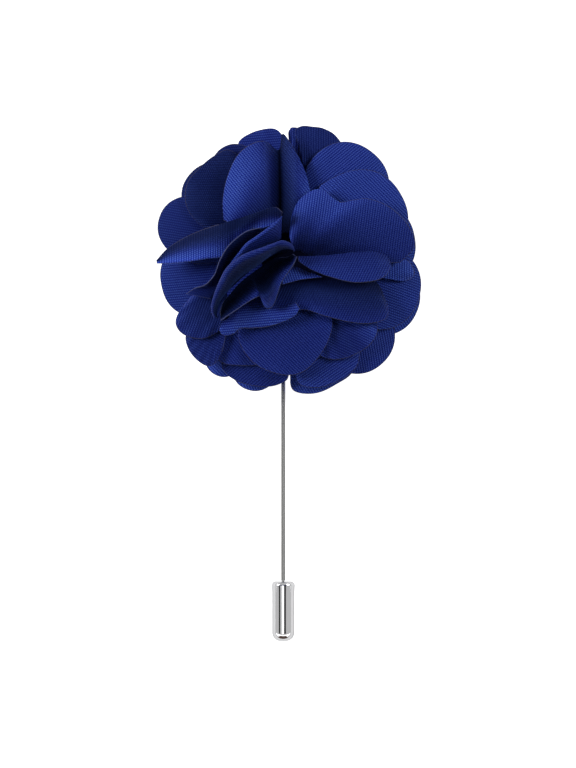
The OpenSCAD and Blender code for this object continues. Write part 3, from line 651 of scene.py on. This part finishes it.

# rows: root x, y (shares of the radius), root height (share of the fold height),
# rim x, y, height, bow; straightWeave: the ribs run straight as seen from above;
# late: how late the petal rises; hemRoll, footRoll, tail: in mm
# the lists of colour factors from root to rim and from side to side are painted light and shade:
# below 1 painted shade, above 1 a painted highlight
foldedPetals = {
    "front_petal_upper_right": {
        # painted shade near its root, painted highlight towards its rim and its left roll
        "weave": -8, "straightWeave": True, "lustre": [0.2, 0.4, 0.75, 1.05, 1.2],
        "side": [0.8, 0.85, 0.9, 1.0, 1.1, 1.3, 1.45, 1.45, 1.4, 1.4, 1.6], "smooth": (0.60, 1),
        "rows": [
            (0.20, -0.02, 0.39, 0.84, -0.03, 0.40, 0.07),
            (0.19, -0.01, 0.39, 0.955, 0.10, 0.39, 0.08),
            (0.18, 0.01, 0.40, 0.90, 0.26, 0.43, 0.09),
            (0.17, 0.02, 0.40, 0.77, 0.385, 0.47, 0.10),
            (0.15, 0.03, 0.41, 0.61, 0.45, 0.50, 0.11),
            (0.13, 0.04, 0.41, 0.48, 0.44, 0.50, 0.13),
            (0.11, 0.05, 0.41, 0.38, 0.43, 0.50, 0.14),
            (0.09, 0.06, 0.42, 0.24, 0.525, 0.49, 0.15),
            (0.07, 0.06, 0.42, 0.10, 0.46, 0.48, 0.16),
            (0.055, 0.06, 0.43, 0.03, 0.33, 0.46, 0.16),
            (0.045, 0.05, 0.43, 0.01, 0.17, 0.45, 0.12)]},
    "leaf_right": {
        "weave": -25, "straightWeave": True, "lustre": [0.7, 1.3],
        "rows": [
            (0.07, 0.02, 0.61, 0.08, -0.02, 0.64, 0.05),
            (0.18, 0.02, 0.61, 0.19, -0.09, 0.65, 0.08),
            (0.33, 0.03, 0.60, 0.34, -0.145, 0.65, 0.10),
            (0.50, 0.05, 0.58, 0.50, -0.18, 0.63, 0.10),
            (0.64, 0.055, 0.56, 0.66, -0.165, 0.59, 0.10),
            (0.73, 0.03, 0.53, 0.74, -0.12, 0.55, 0.08),
            (0.77, -0.02, 0.52, 0.77, -0.06, 0.53, 0.05)]},
    "leaf_lower_right": {
        # painted shade near its root, under the leaf above it
        "weave": -25, "straightWeave": True, "lustre": [0.08, 0.25, 0.55, 1.1],
        "rows": [
            (-0.10, -0.16, 0.46, -0.115, -0.35, 0.485, 0.03),
            (0.01, -0.14, 0.455, 0.02, -0.385, 0.50, 0.06),
            (0.12, -0.12, 0.45, 0.14, -0.385, 0.50, 0.08),
            (0.28, -0.12, 0.45, 0.28, -0.43, 0.52, 0.08),
            (0.45, -0.12, 0.44, 0.46, -0.475, 0.49, 0.08),
            (0.58, -0.14, 0.41, 0.62, -0.485, 0.44, 0.08),
            (0.66, -0.17, 0.39, 0.74, -0.445, 0.40, 0.07),
            (0.70, -0.22, 0.38, 0.755, -0.36, 0.38, 0.05)]},
    "wedge_centre": {
        # painted highlight towards its rim
        "weave": 20, "straightWeave": True, "lustre": [0.8, 3.2], "tail": 1.8, "edge": "pale",
        "rows": [
            (-0.03, -0.07, 0.52, -0.045, -0.195, 0.57, 0.05),
            (0.02, -0.06, 0.51, 0.03, -0.175, 0.57, 0.08),
            (0.08, -0.065, 0.51, 0.09, -0.158, 0.57, 0.08),
            (0.14, -0.095, 0.52, 0.16, -0.148, 0.56, 0.05),
            (0.20, -0.115, 0.53, 0.26, -0.136, 0.55, 0.00)]},
    "tongue_centre": {
        "weave": 95, "straightWeave": True, "lustre": [0.4, 1.2, 1.6, 1.7], "edge": "pale",
        "rows": [
            (-0.513, -0.51, 0.60, -0.517, -0.535, 0.595, 0.00),
            (-0.49, -0.475, 0.60, -0.485, -0.575, 0.585, 0.10),
            (-0.43, -0.43, 0.58, -0.41, -0.565, 0.575, 0.12),
            (-0.37, -0.36, 0.55, -0.36, -0.525, 0.56, 0.10),
            (-0.27, -0.29, 0.53, -0.27, -0.522, 0.54, 0.08),
            (-0.15, -0.29, 0.54, -0.15, -0.51, 0.535, 0.08),
            (-0.06, -0.365, 0.565, -0.04, -0.475, 0.55, 0.10),
            (0.01, -0.345, 0.58, 0.05, -0.43, 0.575, 0.10),
            (0.055, -0.325, 0.60, 0.088, -0.375, 0.60, 0.05)]},
    "cup_front": {
        # painted shade deep in the cup, painted highlight at its rim
        "weave": 20, "lustre": [0.02, 0.02, 0.03, 0.07, 0.4, 1.4],
        "side": [1, 1, 1, 1, 1.1, 1.5, 1.4, 1.1, 0.6, 0.3, 0.2, 0.2], "late": 2.4, "edge": "pale",
        "rows": [
            (0.035, 0.03, 0.74, 0.062, 0.015, 0.84, 0.00),
            (-0.01, 0.01, 0.64, 0.038, -0.045, 0.78, 0.10),
            (-0.075, 0.005, 0.57, 0.005, -0.10, 0.73, 0.18),
            (-0.14, -0.015, 0.54, -0.05, -0.185, 0.69, 0.22),
            (-0.19, -0.05, 0.53, -0.10, -0.335, 0.61, 0.42),
            (-0.23, -0.08, 0.53, -0.145, -0.378, 0.60, 0.46),
            (-0.265, -0.105, 0.53, -0.185, -0.35, 0.62, 0.42),
            (-0.30, -0.13, 0.54, -0.205, -0.285, 0.70, 0.24),
            (-0.37, -0.19, 0.57, -0.29, -0.32, 0.74, 0.15),
            (-0.43, -0.26, 0.60, -0.375, -0.375, 0.76, 0.10),
            (-0.485, -0.33, 0.64, -0.46, -0.43, 0.77, 0.05),
            (-0.505, -0.40, 0.69, -0.505, -0.46, 0.77, 0.00)]},
    "cup_back": {
        # painted shade deep in the cup, lighter only at the rolled lip
        "weave": 60, "lustre": [0.03, 0.03, 0.03, 0.03, 0.03, 0.03, 0.04, 0.07, 0.28, 0.85, 1.1],
        "late": 2.2, "hemRoll": 0.8, "edge": "none",
        "rows": [
            (0.00, 0.07, 0.74, 0.05, 0.06, 0.92, 0.00),
            (-0.05, 0.06, 0.62, 0.03, 0.105, 0.95, 0.05),
            (-0.10, 0.035, 0.57, -0.04, 0.135, 0.98, 0.10),
            (-0.155, 0.00, 0.54, -0.115, 0.112, 1.00, 0.12),
            (-0.215, -0.04, 0.53, -0.20, 0.08, 1.00, 0.14),
            (-0.275, -0.085, 0.53, -0.295, 0.047, 0.99, 0.16),
            (-0.335, -0.135, 0.55, -0.385, 0.00, 0.97, 0.16),
            (-0.395, -0.19, 0.58, -0.465, -0.075, 0.93, 0.16),
            (-0.455, -0.25, 0.61, -0.52, -0.18, 0.88, 0.14),
            (-0.51, -0.33, 0.65, -0.565, -0.30, 0.83, 0.10),
            (-0.535, -0.40, 0.69, -0.577, -0.385, 0.79, 0.06),
            (-0.53, -0.44, 0.71, -0.555, -0.445, 0.76, 0.00)]},
    "fold_inner_left": {
        "weave": 30, "lustre": [0.5, 0.9, 1.5], "hemRoll": 0.4, "edge": "none",
        "rows": [
            (-0.05, 0.15, 0.60, -0.045, 0.32, 0.78, 0.10),
            (-0.07, 0.14, 0.59, -0.10, 0.27, 0.82, 0.16),
            (-0.12, 0.12, 0.58, -0.18, 0.21, 0.83, 0.16),
            (-0.20, 0.09, 0.58, -0.25, 0.16, 0.82, 0.16),
            (-0.28, 0.055, 0.61, -0.32, 0.11, 0.80, 0.18),
            (-0.35, 0.00, 0.65, -0.375, 0.04, 0.77, 0.10),
            (-0.42, -0.07, 0.66, -0.43, -0.03, 0.72, 0.00)]},
    "fold_outer_left": {
        # painted shade on its face in the trough, less towards one end
        "weave": 30, "lustre": [0.12, 0.25, 0.35], "side": [1, 1, 1, 1, 1, 1.6, 2.6, 3, 3],
        "late": 1.8, "edge": "pale",
        "rows": [
            (-0.19, 0.18, 0.58, -0.205, 0.228, 0.68, 0.00),
            (-0.25, 0.14, 0.55, -0.31, 0.20, 0.73, 0.00),
            (-0.32, 0.08, 0.55, -0.40, 0.135, 0.75, 0.00),
            (-0.38, 0.01, 0.55, -0.46, 0.07, 0.75, 0.00),
            (-0.42, -0.06, 0.55, -0.51, -0.02, 0.73, 0.00),
            (-0.46, -0.12, 0.57, -0.55, -0.125, 0.70, 0.00),
            (-0.50, -0.18, 0.60, -0.62, -0.20, 0.68, 0.00),
            (-0.54, -0.24, 0.61, -0.70, -0.225, 0.64, 0.00),
            (-0.58, -0.30, 0.62, -0.765, -0.265, 0.61, 0.00)]},
    "flap_left": {
        "weave": 0, "straightWeave": True,
        # painted highlight along its rolled foot, painted shade towards its upper cut edge
        "lustre": [1.6, 2.0, 3.8, 2.4, 1.6, 1.0, 0.5, 0.3, 0.2, 0.2, 0.2],
        "side": [1.1, 1.2, 1.15, 1, 0.8, 0.75, 0.8, 0.9, 0.9], "footRoll": 0.4, "smooth": (0.45, 1),
        "rows": [
            (-0.985, -0.035, 0.33, -0.99, -0.01, 0.33, 0.00),
            (-0.87, -0.035, 0.38, -0.90, 0.085, 0.33, 0.05),
            (-0.73, -0.02, 0.44, -0.75, 0.175, 0.38, 0.08),
            (-0.60, 0.00, 0.49, -0.60, 0.235, 0.45, 0.08),
            (-0.48, 0.02, 0.51, -0.46, 0.275, 0.54, 0.06),
            (-0.42, 0.10, 0.51, -0.33, 0.315, 0.55, 0.06),
            (-0.28, 0.20, 0.50, -0.20, 0.36, 0.63, 0.05),
            (-0.15, 0.24, 0.58, -0.10, 0.385, 0.70, 0.05),
            (-0.06, 0.27, 0.63, -0.045, 0.345, 0.73, 0.00)]},
    "folded_petal_top": {
        # painted shade in the valley between its two wings and near its root, painted highlight on
        # the wings
        "weave": 40, "straightWeave": True, "lustre": [0.2, 0.4, 0.9, 1.5, 1.35],
        "side": [1.0, 1.4, 1.5, 1.35, 1.1, 0.65, 0.04, 0.15, 0.35, 0.55, 0.85, 1.6],
        "smooth": (0.45, 1),
        "rows": [
            (-0.34, 0.22, 0.41, -0.485, 0.29, 0.44, 0.05),
            (-0.30, 0.22, 0.40, -0.49, 0.45, 0.44, 0.08),
            (-0.25, 0.21, 0.39, -0.455, 0.62, 0.43, 0.10),
            (-0.20, 0.21, 0.36, -0.38, 0.78, 0.40, 0.10),
            (-0.15, 0.20, 0.34, -0.275, 0.865, 0.36, 0.09),
            (-0.10, 0.20, 0.30, -0.17, 0.885, 0.33, 0.07),
            (-0.06, 0.20, 0.26, -0.07, 0.82, 0.24, 0.00),
            (-0.045, 0.20, 0.27, -0.045, 0.94, 0.265, 0.01),
            (-0.02, 0.20, 0.31, 0.01, 0.885, 0.31, 0.03),
            (0.01, 0.20, 0.34, 0.075, 0.775, 0.37, 0.05),
            (0.03, 0.20, 0.34, 0.13, 0.655, 0.40, 0.06),
            (0.05, 0.20, 0.34, 0.17, 0.50, 0.39, 0.05)]},
}

for name, spec in roundPetals.items():
    makePetal(name, spec, roundSheet, flower["flatSteps"])
for name, spec in rimPetals.items():
    makePetal(name, spec, rimSheet, flower["flatSteps"])
for name, spec in foldedPetals.items():
    makePetal(name, spec, foldedSheet, flower["foldSteps"])
print("petals made:", len(roundPetals) + len(rimPetals) + len(foldedPetals))

# grain: how fine the noise is along X, Y and Z
finishes = {
    "polishedChrome": {
        "nodes": ["pin_cap"], "grain": (260, 260, 260), "detail": 3,
        "low": (0.74, 0.74, 0.75), "high": (0.80, 0.80, 0.81),
        "metallic": 1, "roughness": 0.05, "specular": 0.5, "bump": 0.12, "depth": 0.03 * mm},
    "drawnSteel": {
        "nodes": ["pin"], "grain": (6000, 160, 6000), "detail": 2,
        "low": (0.30, 0.30, 0.30), "high": (0.42, 0.42, 0.41),
        "metallic": 1, "roughness": 0.07, "specular": 0.5, "bump": 0.3, "depth": 0.004 * mm},
    "blueFelt": {
        "nodes": ["felt_back", "felt_base"], "grain": (2600, 2600, 2600), "detail": 6,
        "low": (0.001, 0.0015, 0.012), "high": (0.004, 0.006, 0.035),
        "metallic": 0, "roughness": 0.95, "specular": 0.1, "bump": 0.7, "depth": 0.15 * mm},
}


def makeFinish(name, spec):
    material, tree, shader = newMaterial(name)
    coords = tree.nodes.new("ShaderNodeTexCoord")
    stretch = tree.nodes.new("ShaderNodeMapping")
    stretch.inputs["Scale"].default_value = spec["grain"]
    tree.links.new(coords.outputs["Object"], stretch.inputs["Vector"])
    noise = noiseNode(tree, stretch.outputs[0], 1, spec["detail"])
    tree.links.new(mixColour(tree, noise, spec["low"], spec["high"]), shader.inputs["Base Color"])
    shader.inputs["Metallic"].default_value = spec["metallic"]
    shader.inputs["Roughness"].default_value = spec["roughness"]
    shader.inputs["Specular IOR Level"].default_value = spec["specular"]
    tree.links.new(bumpOf(tree, noise, spec["bump"], spec["depth"]), shader.inputs["Normal"])
    return material


def dress(node, material):
    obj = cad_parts[node]
    obj.data.materials.clear()
    obj.data.materials.append(material)


for name, spec in finishes.items():
    material = makeFinish(name, spec)
    for node in spec["nodes"]:
        dress(node, material)
print("metal and felt finished")

studio = {
    "floorSize": 6,
    "floorColour": 0.55,
    "floorRoughness": 0.9,
    "floorGlow": 1.0,
    "floorMirrored": 0.35,        # glow of the floor where the metal mirrors it
    "ambient": 0.10,              # what the room gives matt surfaces
    "roomGrey": 0.60,             # what the metal mirrors
    "aim": (0, 0, 0.01),
    "boxes": {
        "leftBox": {"place": (-1.0, 0.30, 0.75), "size": 0.6, "power": 15},
        "rightBox": {"place": (1.0, 0.42, 0.85), "size": 0.6, "power": 10},
    },
    # cards over and before the pin that only the metal mirrors
    "cards": {
        "whiteCard": {
            "x": (-0.115, 0.035), "y": (-0.25, -0.0275), "z": (0.5, 0.5),
            "colour": (0.8, 0.8, 0.8), "glow": 1.0},
        "darkCardLeft": {
            "x": (-0.53, -0.30), "y": (-0.25, -0.0275), "z": (0.5, 0.5),
            "colour": (0.01, 0.01, 0.01), "glow": 0},
        "darkCardRight": {
            "x": (0.09, 0.27), "y": (-0.25, -0.0275), "z": (0.5, 0.5),
            "colour": (0.02, 0.02, 0.02), "glow": 0},
        # painted reflection: a navy card seen only in reflections, standing in for the flower as
        # the top of the stem mirrors it
        "flowerReflectionCard": {
            "x": (-1.2, 1.2), "y": (-0.0275, 0.12), "z": (0.5, 0.5),
            "colour": (0.006, 0.010, 0.06), "glow": 0},
        "endCard": {
            "x": (-2.5, 2.5), "y": (-1.2, -0.40), "z": (0.5, 0.5),
            "colour": (0.8, 0.8, 0.8), "glow": 0.95},
        "brownCard": {
            "x": (-0.36, 0.30), "y": (-0.5, -0.5), "z": (-0.02, 0.42),
            "colour": (0.06, 0.036, 0.027), "glow": 0},
    },
}


def stageMaterial(name, colour, roughness):
    material, tree, shader = newMaterial(name)
    shader.inputs["Base Color"].default_value = (*colour, 1)
    shader.inputs["Roughness"].default_value = roughness
    shader.inputs["Emission Color"].default_value = (1, 1, 1, 1)
    return material, tree, shader


def stageSheet(name, corners, face, material, onlyMirrored=False):
    mesh = bpy.data.meshes.new(name)
    mesh.from_pydata(corners, [], [face])
    mesh.materials.append(material)
    sheet = bpy.data.objects.new(name, mesh)
    bpy.context.scene.collection.objects.link(sheet)
    if onlyMirrored:
        sheet.visible_camera = sheet.visible_diffuse = sheet.visible_shadow = False


def greyByRay(tree, ray, other, chosen):
    # one value for most rays, and another for the kind of ray named
    path = tree.nodes.new("ShaderNodeLightPath")
    level = tree.nodes.new("ShaderNodeMix")
    level.inputs[2].default_value = other
    level.inputs[3].default_value = chosen
    tree.links.new(path.outputs[ray], level.inputs[0])
    return level.outputs[0]


def makeFloor(spec):
    size, grey = spec["floorSize"], spec["floorColour"]
    material, tree, shader = stageMaterial("whiteSweep", (grey, grey, grey), spec["floorRoughness"])
    glow = greyByRay(tree, "Is Glossy Ray", spec["floorGlow"], spec["floorMirrored"])
    tree.links.new(glow, shader.inputs["Emission Strength"])
    corners = [(-size, -size, 0), (size, -size, 0), (size, size, 0), (-size, size, 0)]
    stageSheet("floor", corners, (0, 1, 2, 3), material)


def makeCard(name, spec):
    (left, right), (near, far), (low, high) = spec["x"], spec["y"], spec["z"]
    material, _, shader = stageMaterial(name, spec["colour"], 1)
    shader.inputs["Emission Strength"].default_value = spec["glow"]
    corners = [(left, near, low), (right, near, low), (right, far, high), (left, far, high)]
    stageSheet(name, corners, (0, 3, 2, 1), material, onlyMirrored=True)


def areaLight(name, spec, aim):
    data = bpy.data.lights.new(name, "AREA")
    data.shape = "DISK"
    data.size = spec["size"]
    data.energy = spec["power"]
    lamp = bpy.data.objects.new(name, data)
    lamp.location = spec["place"]
    lamp.rotation_mode = "QUATERNION"
    lamp.rotation_quaternion = (Vector(aim) - Vector(spec["place"])).to_track_quat("-Z", "Y")
    lamp.visible_camera = False
    bpy.context.scene.collection.objects.link(lamp)


def makeRoom(spec):
    world = bpy.data.worlds.new("studio")
    world.use_nodes = True
    tree = world.node_tree
    background = tree.nodes["Background"]
    level = greyByRay(tree, "Is Diffuse Ray", spec["roomGrey"], spec["ambient"])
    tree.links.new(level, background.inputs["Strength"])
    background.inputs["Color"].default_value = (1, 1, 1, 1)
    bpy.context.scene.world = world


makeFloor(studio)
for name, spec in studio["boxes"].items():
    areaLight(name, spec, studio["aim"])
for name, spec in studio["cards"].items():
    makeCard(name, spec)
makeRoom(studio)
bpy.context.scene.view_settings.view_transform = "Standard"
print("floor and lights made")
